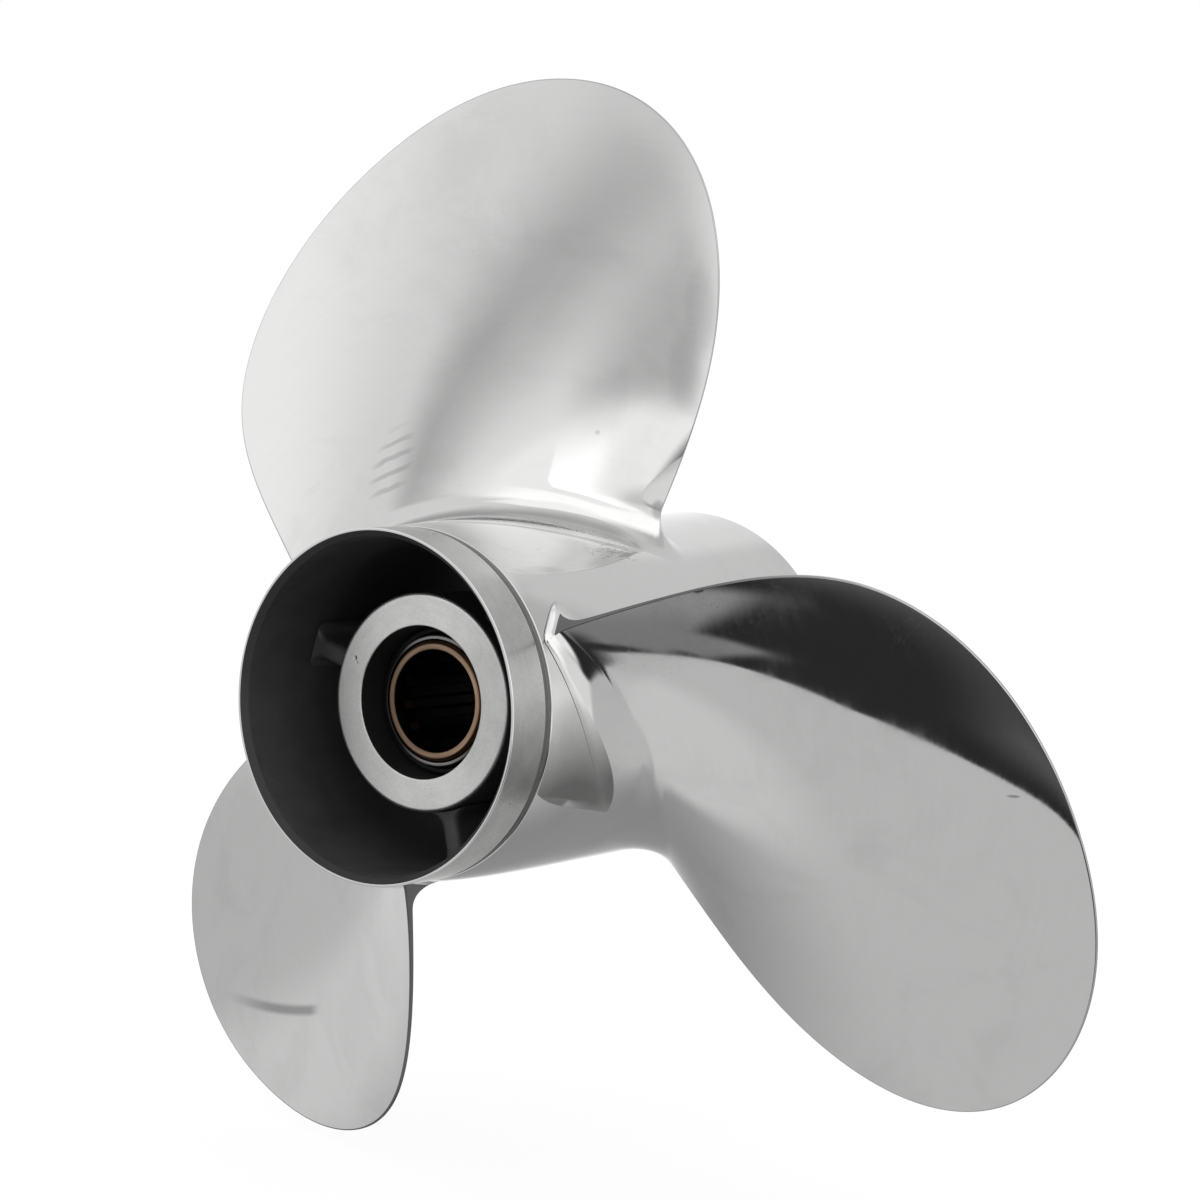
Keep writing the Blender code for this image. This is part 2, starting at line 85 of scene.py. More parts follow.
# ---- camera, at the photograph's viewpoint ----
def make_camera():
    data = bpy.data.cameras.new("photo_camera")
    cam = bpy.data.objects.new("photo_camera", data)
    bpy.context.scene.collection.objects.link(cam)
    back = Vector((0.56505, -0.82484, 0.01898)).normalized()
    up = Vector((0.0, 0.0230, 0.9997))
    right = up.cross(back).normalized()
    up = back.cross(right)
    cam.matrix_world = Matrix((
        (right.x, up.x, back.x, 0.2973), (right.y, up.y, back.y, -0.3676),
        (right.z, up.z, back.z, 0.0311), (0, 0, 0, 1)))
    data.sensor_width = 36.0
    data.lens = 63.2
    data.clip_start, data.clip_end = 0.01, 50.0
    bpy.context.scene.camera = cam
    return cam


make_camera()


# ---- shapes ----
def spline_coefficients(values):
    y = np.asarray(values, float)
    n = len(y) - 1
    h = 1.0 / n
    mat = np.zeros((n + 1, n + 1))
    rhs = np.zeros(n + 1)
    mat[0, :3] = (1.0, -2.0, 1.0)
    mat[n, n - 2:] = (1.0, -2.0, 1.0)
    for i in range(1, n):
        mat[i, i - 1:i + 2] = (1.0, 4.0, 1.0)
        rhs[i] = 6.0 * (y[i - 1] - 2.0 * y[i] + y[i + 1]) / h ** 2
    return y, np.linalg.solve(mat, rhs), h, n


def read_spline(spline, s):
    y, m, h, n = spline
    s = np.clip(np.asarray(s, float), 0.0, 1.0)
    i = np.minimum((s / h).astype(int), n - 1)
    t = s - i * h
    a = (m[i + 1] - m[i]) / (6.0 * h)
    b = m[i] / 2.0
    c = (y[i + 1] - y[i]) / h - h * (2.0 * m[i] + m[i + 1]) / 6.0
    return ((a * t + b) * t + c) * t + y[i]


OUT_R = spline_coefficients([r for r, _ in OUTLINE])
OUT_A = spline_coefficients([math.radians(a) for _, a in OUTLINE])


def barrel_radius(y):
    d = np.asarray(y, float) - Y_RIM
    back = np.maximum(d - GROOVE_TO, 0.0)
    r = BODY_R + SWELL * (1.0 - np.exp(-back / SWELL_LENGTH)) + BODY_TAPER * back
    flare = np.maximum(d - FLARE_FROM, 0.0) / (HUB_LENGTH - FLARE_FROM)
    return r + FLARE * flare ** 2


def bore_radius(y):
    d = np.asarray(y, float) - Y_RIM
    t = np.clip((d - BORE_FLARE_FROM) / (HUB_LENGTH - BORE_FLARE_FROM), 0.0, 1.0)
    return BORE_R + (AFT_LIP_R - BORE_R) * t ** 1.6


def rounded(points, steps=6, support=0.12):
    """A closed profile with arcs at the corners that state a radius, and a
    supporting point beside each arc so that the flats stay flat."""
    out = []
    n = len(points)
    for i, (r, y, rad) in enumerate(points):
        if rad <= 0:
            out.append((r, y))
            continue
        p = np.array((r, y))
        a = np.array(points[i - 1][:2]) - p
        b = np.array(points[(i + 1) % n][:2]) - p
        la, lb = np.linalg.norm(a), np.linalg.norm(b)
        a, b = a / la, b / lb
        half = 0.5 * math.acos(max(-1.0, min(1.0, float(a @ b))))
        cut = min(rad / math.tan(half), 0.45 * la, 0.45 * lb)
        rad = cut * math.tan(half)
        mid = (a + b) / np.linalg.norm(a + b)
        centre = p + mid * rad / math.sin(half)
        s, e = p + a * cut, p + b * cut
        out.append(tuple(s + a * min(support, 0.3 * (la - cut))))
        va, ve = s - centre, e - centre
        ang = math.acos(max(-1.0, min(1.0, float(va @ ve) / rad ** 2)))
        for k in range(steps + 1):
            t = k / steps
            v = (math.sin((1 - t) * ang) * va + math.sin(t * ang) * ve) / math.sin(ang)
            out.append(tuple(centre + v))
        out.append(tuple(e + b * min(support, 0.3 * (lb - cut))))
    return out


def mesh_object(name, verts, faces, smooth=True, sharp=None):
    mesh = bpy.data.meshes.new(name)
    mesh.from_pydata([tuple(v) for v in verts], [], faces)
    mesh.validate()
    if smooth:
        mesh.shade_smooth()
    if sharp:
        mesh.set_sharp_from_angle(angle=math.radians(sharp))
    obj = bpy.data.objects.new(name, mesh)
    bpy.context.scene.collection.objects.link(obj)
    return obj


def facing_out(obj):
    bm = bmesh.new()
    bm.from_mesh(obj.data)
    bmesh.ops.recalc_face_normals(bm, faces=bm.faces)
    bm.to_mesh(obj.data)
    bm.free()
    return obj


def lathe(name, profile, steps, sharp=None):
    """A closed profile (radius, y) in mm turned about the shaft axis."""
    prof = np.array(profile, float)
    n = len(prof)
    psi = np.linspace(0, 2 * math.pi, steps, endpoint=False)
    verts = np.stack([
        np.outer(np.sin(psi), prof[:, 0]), np.tile(prof[:, 1], (steps, 1)),
        np.outer(np.cos(psi), prof[:, 0])], -1).reshape(-1, 3) * MM
    faces = []
    for i in range(steps):
        a, b = i * n, ((i + 1) % steps) * n
        for j in range(n):
            k = (j + 1) % n
            faces.append((a + j, b + j, b + k, a + k))
    return facing_out(mesh_object(name, verts, faces, sharp=sharp))


def wear_object(obj, node, mats):
    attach(obj, "root")
    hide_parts(node)
    obj.data.materials.clear()
    for m in mats:
        obj.data.materials.append(m)
    return obj


def blade_object(name, turn, fillet_rows=24, rows=90, across=44, sink=0.03):
    """Both faces as rows of equal radius near the root that turn round the
    tip, from a spine at mid-chord to the edges, joined by a blunt edge with
    rounded corners."""
    s = np.linspace(0.3, 0.8, 4001)
    rr = read_spline(OUT_R, s)
    s_tip, r_tip = float(s[rr.argmax()]), float(rr.max())
    base = RIM_R
    height = r_tip - base
    heights = [FILLET_AFT * (1.0 - math.cos(0.5 * math.pi * i / fillet_rows))
               for i in range(fillet_rows)]
    heights += [FILLET_AFT + (height - FILLET_AFT) * math.sin(0.5 * math.pi * i / rows)
                for i in range(rows)]
    heights = np.array(heights)
    sl = np.linspace(0.0, s_tip, 3000)
    st = np.linspace(1.0, s_tip, 3000)
    rl, rt = read_spline(OUT_R, sl), read_spline(OUT_R, st)
    al, at = read_spline(OUT_A, sl), read_spline(OUT_A, st)
    rl, rt = np.maximum.accumulate(rl), np.maximum.accumulate(rt)
    lead = np.interp(base + heights, rl, sl)
    trail = np.interp(base + heights, rt, st)
    params = np.concatenate([lead, [s_tip], trail[::-1]])
    levels = np.concatenate([heights, [height], heights[::-1]])
    count = len(params)
    middle = count // 2
    th_lead = float(read_spline(OUT_A, lead[0]))
    th_trail = float(read_spline(OUT_A, trail[0]))
    th_root = 0.5 * (th_lead + th_trail)
    spine_top = 0.87 * height
    th_top = math.radians(3.0)

    def edge_thick(h):
        return EDGE_THICK + EDGE_ROOT * np.exp(-np.maximum(h, 0.0) / EDGE_FADE)

    def chord(r, th):
        lo = np.interp(r, rl, al)
        hi = np.interp(r, rt, at)
        return np.clip((th - lo) / np.maximum(hi - lo, 1e-6), 0.0, 1.0)

    def fillet(c, side):
        t = np.minimum(c / 0.5, 1.0)
        front = FILLET + (FILLET_AFT - FILLET) * t * (2.0 - t)
        return front if side > 0 else FILLET_BACK + 0.0 * t

    def thickness(r, th):
        c = chord(r, th)
        u = np.clip((r - base) / height, 0.0, 1.0)
        full = THICK_TIP + (THICK_ROOT - THICK_TIP) * (1.0 - u) ** 1.25
        edge = edge_thick(r - base)
        return edge + np.maximum(full - edge, 0.0) * 4.0 * c * (1.0 - c)

    def station(r, th):
        x = r / RIM_R - 1.0
        pitch = PITCH_ROOT - PITCH_FALL * x
        return (Y_RIM + ROOT_DEPTH + RAKE * x + RAKE_CURVE * x * x
                + pitch / (2 * math.pi) * th)

    def place(r, th, h, face, along, rise):
        y = station(r, th)
        dy = (PITCH_ROOT - PITCH_FALL * (r / RIM_R - 1.0)) / (2 * math.pi)
        ln = np.hypot(r, dy)
        cx, cy = r / ln, dy / ln
        a = r * th + cx * along + cy * face
        y2 = y + cy * along - cx * face
        fade = np.maximum(0.0, 1.0 - h / 30.0) ** 2
        r2 = r + rise + (barrel_radius(y2) - sink - base) * fade
        psi = math.radians(BLADE_PHASE + turn) + a / r
        return np.stack([r2 * np.sin(psi), y2, r2 * np.cos(psi)], -1) * MM

    def flare(h, f):
        g = np.maximum(f - h, 0.0)
        return f - np.sqrt(np.maximum(f * f - g * g, 0.0))

    r_e, th_e = read_spline(OUT_R, params), read_spline(OUT_A, params)
    h_e = np.where(levels > 0, r_e - base, 0.0)
    # the outline's outward normal, in chord and radius
    eps = 1e-4
    p0, p1 = np.clip(params - eps, 0, 1), np.clip(params + eps, 0, 1)
    t_r = read_spline(OUT_R, p1) - read_spline(OUT_R, p0)
    t_a = r_e * (read_spline(OUT_A, p1) - read_spline(OUT_A, p0))
    ln = np.hypot(t_r, t_a)
    settle = np.clip(levels / 6.0, 0.0, 1.0)
    n_a, n_r = -t_r / ln, t_a / ln * settle ** 2
    ln = np.hypot(n_a, n_r)
    n_a, n_r = n_a / ln, n_r / ln
    foot = np.where(np.arange(count) <= middle, FILLET_LEAD, FILLET_TRAIL)

    level = levels - (height - spine_top) * (levels / height) ** 6
    r_s, th_s = base + level, th_root + (th_top - th_root) * level / spine_top
    w = np.sin(0.5 * math.pi * np.arange(across + 1) / across)
    R = r_s[:, None] + w * (r_e - r_s)[:, None]
    T = th_s[:, None] + w * (th_e - th_s)[:, None]
    H = np.where(levels[:, None] > 0, R - base, 0.0)
    half_edge = 0.5 * edge_thick(H)
    near_edge = np.broadcast_to(w ** 8, R.shape)
    inset = -EDGE_CORNER * near_edge
    thick = thickness(R, T)
    verts, index = [], {}
    grids = {}
    for side in (1, -1):
        off = thick - half_edge if side > 0 else half_edge
        off = off + flare(H, fillet(chord(R, T), side))
        P = place(R, T, H, side * off, inset * n_a[:, None], inset * n_r[:, None])
        ids = np.zeros((count, across + 1), int)
        for i in range(count):
            for j in range(across + 1):
                if j == 0 and i > middle:
                    ids[i, 0] = ids[count - 1 - i, 0]
                    continue
                ids[i, j] = len(verts)
                verts.append(P[i, j])
        grids[side] = ids
    half_edge = 0.5 * edge_thick(h_e)
    c_e = (np.arange(count) > middle).astype(float)
    along_grow = EDGE_CORNER + flare(h_e, foot)
    flat = half_edge - EDGE_CORNER
    edge = [grids[1][:, across]]
    path = [(1.0, math.radians(a)) for a in (67.5, 45.0, 22.5, 0.0)]
    path += [(0.33, 0.0), (-0.33, 0.0)]
    path += [(-1.0, math.radians(a)) for a in (0.0, -22.5, -45.0, -67.5)]
    for k, ang in path:
        face = flat * k + math.sin(ang) * (
            EDGE_CORNER + flare(h_e, fillet(c_e, k)))
        along = along_grow * math.cos(ang) - EDGE_CORNER
        P = place(r_e, th_e, h_e, face, along * n_a, along * n_r)
        edge.append(np.arange(len(verts), len(verts) + count))
        verts.extend(P)
    edge.append(grids[-1][:, across])
    faces = []
    for side in (1, -1):
        g = grids[side]
        for i in range(count - 1):
            for j in range(across):
                quad = [int(g[i, j]), int(g[i + 1, j]), int(g[i + 1, j + 1]),
                        int(g[i, j + 1])]
                quad = [v for k, v in enumerate(quad) if v not in quad[:k]]
                faces.append(tuple(quad if side < 0 else quad[::-1]))
    for i in range(count - 1):
        for k in range(len(edge) - 1):
            faces.append((int(edge[k][i]), int(edge[k + 1][i]),
                          int(edge[k + 1][i + 1]), int(edge[k][i + 1])))
    obj = facing_out(mesh_object(name, verts, faces))
    strip = len(edge) - 1
    for p in obj.data.polygons[2 * (count - 1) * across:]:
        row = (p.index - 2 * (count - 1) * across) // strip
        clear = 1.0 if row <= middle else 0.8 * FILLET_TRAIL
        p.material_index = 1 if levels[row] > clear else 0
    return blend_normals(obj)


def blend_normals(obj, sunk=0.03, until=0.9):
    """Turn the lowest normals of a blade into the barrel's, so that the
    fillet runs out without a crease."""
    mesh = obj.data
    n = len(mesh.vertices)
    co, no = np.empty(n * 3), np.empty(n * 3)
    mesh.vertices.foreach_get("co", co)
    mesh.vertices.foreach_get("normal", no)
    co, no = co.reshape(-1, 3) / MM, no.reshape(-1, 3)
    r = np.hypot(co[:, 0], co[:, 2])
    slope = (barrel_radius(co[:, 1] + 0.05) - barrel_radius(co[:, 1] - 0.05)) / 0.1
    wall = np.stack([co[:, 0] / r, -slope, co[:, 2] / r], -1)
    wall /= np.linalg.norm(wall, axis=1)[:, None]
    h = r - barrel_radius(co[:, 1]) + sunk
    t = np.sqrt(sunk / np.maximum(h, sunk)) * np.clip((until - h) / until, 0.0, 1.0)
    t = t[:, None]
    no = no * (1.0 - t) + wall * t
    no /= np.linalg.norm(no, axis=1)[:, None]
    mesh.normals_split_custom_set_from_vertices(no.tolist())
    return obj


def barrel_points():
    aft = Y_RIM + HUB_LENGTH
    land = RIM_R + LAND_TAPER * GROOVE_FROM
    pts = [(float(barrel_radius(aft)), aft, 0.5)]
    for d in np.linspace(HUB_LENGTH - 1.5, GROOVE_TO + 1.0, 60):
        pts.append((float(barrel_radius(Y_RIM + d)), Y_RIM + d, 0))
    pts += [
        (BODY_R, Y_RIM + GROOVE_TO, 0.22),
        (BODY_R - GROOVE_DEPTH, Y_RIM + GROOVE_TO - 0.4, 0.2),
        (land - GROOVE_DEPTH, Y_RIM + GROOVE_FROM + 0.4, 0.2),
        (land, Y_RIM + GROOVE_FROM, 0.22),
    ]
    for d in (9.5, 7.0, 4.0, 1.5):
        pts.append((RIM_R + LAND_TAPER * d, Y_RIM + d, 0))
    pts += [(RIM_R, Y_RIM, 0.35), (LIP_R, Y_RIM, 0.12), (BORE_R, Y_RIM + 1.6, 0.5),
            (BORE_R, Y_RIM + 4.0, 0)]
    for d in np.linspace(BORE_FLARE_FROM, HUB_LENGTH - 1.5, 14):
        pts.append((float(bore_radius(Y_RIM + d)), Y_RIM + d, 0))
    pts.append((AFT_LIP_R, aft, 0.3))
    return rounded(pts)


def hub_points():
    return rounded([
        (HUB_R, Y_HUB_AFT, 1.0), (HUB_R, 40.0, 0), (HUB_R, Y_RING, HUB_EDGE),
        (HUB_BORE_R, Y_RING, 0.4), (HUB_BORE_R, 40.0, 0),
        (HUB_BORE_R, Y_HUB_AFT, 0.6)])


def sleeve_object(name, per_tooth=16):
    """The bronze sleeve: smooth counterbore in front, splines behind it."""
    steps = SPLINE_TEETH * per_tooth
    front = rounded([
        (SLEEVE_R, Y_SLEEVE_AFT, 0.35), (SLEEVE_R, 40.0, 0),
        (SLEEVE_R, Y_SLEEVE + SLEEVE_BEVEL, 0.3),
        (SLEEVE_R - SLEEVE_BEVEL, Y_SLEEVE, 0.15), (SLEEVE_BORE_R, Y_SLEEVE, 0.35),
        (SLEEVE_BORE_R, SPLINE_FROM - 1.0, 0)])
    behind = [(SPLINE_FROM + 0.3, 1.0)]
    behind += [(float(y), 1.0) for y in np.linspace(SPLINE_FROM + 4, Y_SLEEVE_AFT - 0.4, 10)]
    behind += [(Y_SLEEVE_AFT, 1.0)]
    n = len(front) + len(behind)
    pitch = 2 * math.pi / SPLINE_TEETH
    verts = []
    for i in range(steps):
        psi = 2 * math.pi * i / steps
        t = abs(((psi / pitch + 0.5) % 1.0) - 0.5)
        k = min(max((0.29 - t) / 0.08, 0.0), 1.0)
        inner = SPLINE_MINOR_R + (SPLINE_MAJOR_R - SPLINE_MINOR_R) * k * k * (3 - 2 * k)
        ring = [(r, y) for r, y in front] + [(inner, y) for y, _ in behind]
        verts += [(r * math.sin(psi) * MM, y * MM, r * math.cos(psi) * MM)
                  for r, y in ring]
    faces = []
    for i in range(steps):
        a, b = i * n, ((i + 1) % steps) * n
        for j in range(n):
            k = (j + 1) % n
            faces.append((a + j, b + j, b + k, a + k))
    return facing_out(mesh_object(name, verts, faces, sharp=38))


def bush_points():
    gap = 0.3
    seat = COLLAR_FRONT + COLLAR_LENGTH + gap
    return rounded([
        (HUB_BORE_R - gap, BUSH_AFT, 0.5), (HUB_BORE_R - gap, BUSH_FRONT, 0.9),
        (COLLAR_R + gap, BUSH_FRONT, 0.5), (COLLAR_R + gap, seat, 0.1),
        (SLEEVE_R + gap, seat, 0.1), (SLEEVE_R + gap, BUSH_AFT, 0.3)])


def collar_points():
    gap = 0.3
    back = COLLAR_FRONT + COLLAR_LENGTH
    return rounded([
        (COLLAR_R, back, 0.2), (COLLAR_R, COLLAR_FRONT, 0.5),
        (SLEEVE_R + gap, COLLAR_FRONT, 0.15), (SLEEVE_R + gap, back, 0.1)], steps=8)


def rib_object(name, psi, fillet_steps=9, nose_steps=5):
    """A cast web between the inner hub and the barrel, with filleted ends and
    a rounded front edge."""
    inner = HUB_R + 0.3
    nose = 1.5
    ys, shrink = [], []
    for i in range(nose_steps + 1):
        a = 0.5 * math.pi * i / nose_steps
        ys.append(RIB_FROM + nose * (1 - math.cos(a)))
        shrink.append(nose * (1 - math.sin(a)))
    for y in np.linspace(RIB_FROM + 8, RIB_TO - 0.2, 14):
        ys.append(float(y))
        shrink.append(0.0)
    rows = []
    for y, cut in zip(ys, shrink):
        outer = float(bore_radius(y)) - 0.45
        half = RIB_THICK / 2 - cut
        hs = [k / fillet_steps for k in range(fillet_steps + 1)]
        side = []
        for h in hs:
            grow = RIB_FLARE * (1 - math.sqrt(1 - (1 - h) ** 2))
            side.append((half + grow, inner + h * RIB_FLARE, k_end(h)))
        for h in hs[::-1]:
            grow = RIB_FLARE * (1 - math.sqrt(1 - (1 - h) ** 2))
            side.append((half + grow, outer - h * RIB_FLARE, k_end(h)))
        loop = [(x, math.sqrt(r * r - x * x) if end else r) for x, r, end in side]
        top = [(x * f, math.sqrt(outer ** 2 - (x * f) ** 2))
               for x in (half + RIB_FLARE,) for f in (0.5, 0.0, -0.5)]
        low = [(x * f, math.sqrt(inner ** 2 - (x * f) ** 2))
               for x in (half + RIB_FLARE,) for f in (-0.5, 0.0, 0.5)]
        loop = loop + top + [(-x, z) for x, z in loop[::-1]] + low
        rows.append([(x, y, z) for x, z in loop])
    n = len(rows[0])
    ang = math.radians(psi)
    c, s = math.cos(ang), math.sin(ang)
    verts = [((x * c + z * s) * MM, y * MM, (z * c - x * s) * MM)
             for row in rows for x, y, z in row]
    faces = []
    for a in range(len(rows) - 1):
        for i in range(n):
            j = (i + 1) % n
            faces.append((a * n + i, a * n + j, (a + 1) * n + j, (a + 1) * n + i))
    faces.append(tuple(range(n))[::-1])
    faces.append(tuple(range((len(rows) - 1) * n, len(rows) * n)))
    return facing_out(mesh_object(name, verts, faces, sharp=50))


def k_end(h):
    return h == 0.0


# ---- node graphs ----
class Graph:
    """Short spellings for building a shader tree."""

    def __init__(self, tree):
        self.tree = tree

    def put(self, socket, value):
        if isinstance(value, bpy.types.NodeSocket):
            self.tree.links.new(value, socket)
        elif value is not None:
            socket.default_value = value

    def node(self, kind, inputs=None, **props):
        n = self.tree.nodes.new(kind)
        for k, v in props.items():
            setattr(n, k, v)
        for k, v in (inputs or {}).items():
            self.put(n.inputs[k], v)
        return n

    def math(self, op, a, b=None, c=None, clamp=False):
        n = self.node("ShaderNodeMath", {0: a, 1: b, 2: c}, operation=op)
        n.use_clamp = clamp
        return n.outputs[0]

    def ramp(self, x, lo, hi, out_lo=0.0, out_hi=1.0, smooth=True):
        n = self.node("ShaderNodeMapRange",
                      {0: x, 1: lo, 2: hi, 3: out_lo, 4: out_hi})
        n.interpolation_type = "SMOOTHSTEP" if smooth else "LINEAR"
        n.clamp = True
        return n.outputs[0]

    def mix(self, fac, a, b):
        """a + fac (b - a), on single numbers."""
        n = self.node("ShaderNodeMix", {0: fac, 2: a, 3: b})
        n.data_type = "FLOAT"
        return n.outputs[0]

    def noise(self, vector, scale, detail=2.0, rough=0.5, distort=0.0):
        n = self.node("ShaderNodeTexNoise", {
            "Vector": vector, "Scale": scale, "Detail": detail,
            "Roughness": rough, "Distortion": distort})
        return n.outputs[0]

    def xyz(self, x, y, z):
        return self.node("ShaderNodeCombineXYZ", {0: x, 1: y, 2: z}).outputs[0]

    def bump(self, height, distance, before=None, strength=1.0):
        n = self.node("ShaderNodeBump", {"Strength": strength, "Distance": distance,
                                         "Height": height})
        if before is not None:
            self.put(n.inputs["Normal"], before)
        return n.outputs[0]


class Surface(Graph):
    """A Principled material whose nodes read the part's own frame."""

    def __init__(self, name, rough=0.3, metal=1.0, color=(0.6, 0.6, 0.6)):
        self.mat = bpy.data.materials.new(name)
        self.mat.use_nodes = True
        self.mat.diffuse_color = (*color, 1)
        super().__init__(self.mat.node_tree)
        self.shader = self.tree.nodes["Principled BSDF"]
        self.shader.inputs["Metallic"].default_value = metal
        self.shader.inputs["Roughness"].default_value = rough
        self.shader.inputs["Base Color"].default_value = (*color, 1)
        self.pos = self.node("ShaderNodeTexCoord").outputs["Object"]
        sep = self.node("ShaderNodeSeparateXYZ", {0: self.pos})
        self.x, self.y, self.z = sep.outputs
        self.r = self.math("SQRT", self.math("ADD", self.math("MULTIPLY", self.x, self.x),
                                             self.math("MULTIPLY", self.z, self.z)))
        self.cx = self.math("DIVIDE", self.x, self.r)
        self.cz = self.math("DIVIDE", self.z, self.r)

    def turned(self, fine, along, on_radius, on_length):
        """Coordinates whose noise comes out as arcs about the shaft axis."""
        lead = self.math("ADD", self.math("MULTIPLY", self.r, fine * on_radius),
                         self.math("MULTIPLY", self.y, fine * on_length))
        return self.xyz(lead, self.math("MULTIPLY", self.cx, along),
                        self.math("MULTIPLY", self.cz, along))

    def color(self, value, tint=(1.0, 1.0, 1.0)):
        """A number as a grey, tinted."""
        n = self.node("ShaderNodeCombineColor", {
            0: self.math("MULTIPLY", value, tint[0]),
            1: self.math("MULTIPLY", value, tint[1]),
            2: self.math("MULTIPLY", value, tint[2])})
        self.put(self.shader.inputs["Base Color"], n.outputs[0])

    def rough(self, value):
        self.put(self.shader.inputs["Roughness"], value)

    def normal(self, value):
        self.put(self.shader.inputs["Normal"], value)


STEEL = 0.66


def blob(m, centre, radii):
    """A soft ellipsoid about a point of the part, 1 in the middle, both in mm."""
    total = None
    for axis, c, r in zip((m.x, m.y, m.z), centre, radii):
        d = m.math("MULTIPLY", m.math("SUBTRACT", axis, c * MM), 1.0 / (r * MM))
        d = m.math("MULTIPLY", d, d)
        total = d if total is None else m.math("ADD", total, d)
    return m.ramp(total, 0.15, 1.0, 1.0, 0.0)


def blade_marks_and_foot_shade(m):
    """Handling marks: grinder ripples and a smudge low on the first blade, a long rub on the
    third, nicks on the second, and painted shade at the foot of the first blade."""
    rip = m.math("ADD", m.math("MULTIPLY", m.z, 1500.0), m.math("MULTIPLY", m.x, -900.0))
    rip = m.math("SINE", m.math("ADD", rip, m.math("MULTIPLY", m.noise(m.pos, 110.0, 2.0), 5.0)))
    marks = m.math("MULTIPLY", m.math("MULTIPLY", m.ramp(rip, 0.1, 0.9), 0.24),
                   blob(m, (-24.5, 16.0, 54.0), (5.0, 12.0, 13.0)))
    for centre, radii in (((35.0, 58.0, 90.0), (4.0, 12.0, 13.0)),
                          ((31.0, 58.0, 76.0), (4.0, 12.0, 12.0))):
        marks = m.math("ADD", marks, m.math("MULTIPLY", blob(m, centre, radii), 0.10))
    marks = m.math("ADD", marks, m.math("MULTIPLY", blob(m, (23.4, 57.6, 43.0),
                                                         (1.6, 3.0, 3.0)), 0.3))
    off = m.math("MAXIMUM", m.math("ADD", m.x, 0.100), 0.0)
    line = m.math("ADD", -0.0857, m.math("MULTIPLY", m.math("MULTIPLY", off, off), 3.0))
    rub = m.ramp(m.math("ABSOLUTE", m.math("SUBTRACT", m.z, line)), 0.0004, 0.0020, 1.0, 0.0)
    rub = m.math("MULTIPLY", rub, m.ramp(m.x, -0.114, -0.082, 0.0, 1.0))
    rub = m.math("MULTIPLY", rub, m.ramp(m.x, -0.066, -0.059, 1.0, 0.0))
    marks = m.math("ADD", marks, m.math("MULTIPLY", rub, 0.5))
    for centre, radii, depth in (((124.1, 33.4, -18.2), (1.7, 4.0, 0.4), 0.35),
                                 ((66.9, 4.5, 24.5), (1.6, 2.0, 0.6), 0.6),
                                 ((14.2, 45.5, 61.4), (0.7, 2.0, 0.7), 0.2)):
        marks = m.math("ADD", marks, m.math("MULTIPLY", blob(m, centre, radii), depth))
    # on the front faces only
    face = m.node("ShaderNodeSeparateXYZ", {
        0: m.node("ShaderNodeNewGeometry").outputs["True Normal"]}).outputs[1]
    marks = m.math("MULTIPLY", marks, m.ramp(face, -0.05, 0.05, 1.0, 0.0))
    # painted shade: the foot of the first blade, where its fillet meets the barrel, is darkened,
    # and at the crease made partly non-metallic so that it shows a grey band
    first = m.math("MULTIPLY", m.ramp(m.z, 0.027, 0.031), m.ramp(m.y, 0.044, 0.053, 1.0, 0.0))
    foot = m.math("MULTIPLY", first, m.ramp(m.r, 0.0420, 0.0442, 1.0, 0.0))
    marks = m.math("ADD", marks, m.math("MULTIPLY", foot, 0.40))
    crease = m.math("MULTIPLY", first, m.ramp(m.r, 0.0415, 0.0424, 1.0, 0.0))
    m.put(m.shader.inputs["Metallic"], m.math("SUBTRACT", 1.0, m.math("MULTIPLY", crease, 0.6)))
    return marks


def edge_marks(m):
    """The second blade's edge: dull by the root, buffed from mid-span out."""
    return m.ramp(m.r, 0.070, 0.100, 0.67, 0.0)


def barrel_marks(m):
    """Scuffs where the barrel was handled, beside the first blade's root."""
    lines = m.noise(m.xyz(m.math("MULTIPLY", m.x, 1500.0), m.math("MULTIPLY", m.y, 420.0),
                          m.math("MULTIPLY", m.z, 1500.0)), 1.0, 3.0, 0.7)
    return m.math("MULTIPLY", m.math("MULTIPLY", m.ramp(lines, 0.50, 0.66), 0.45),
                  blob(m, (24.6, 36.0, 33.0), (5.0, 13.0, 5.0)))


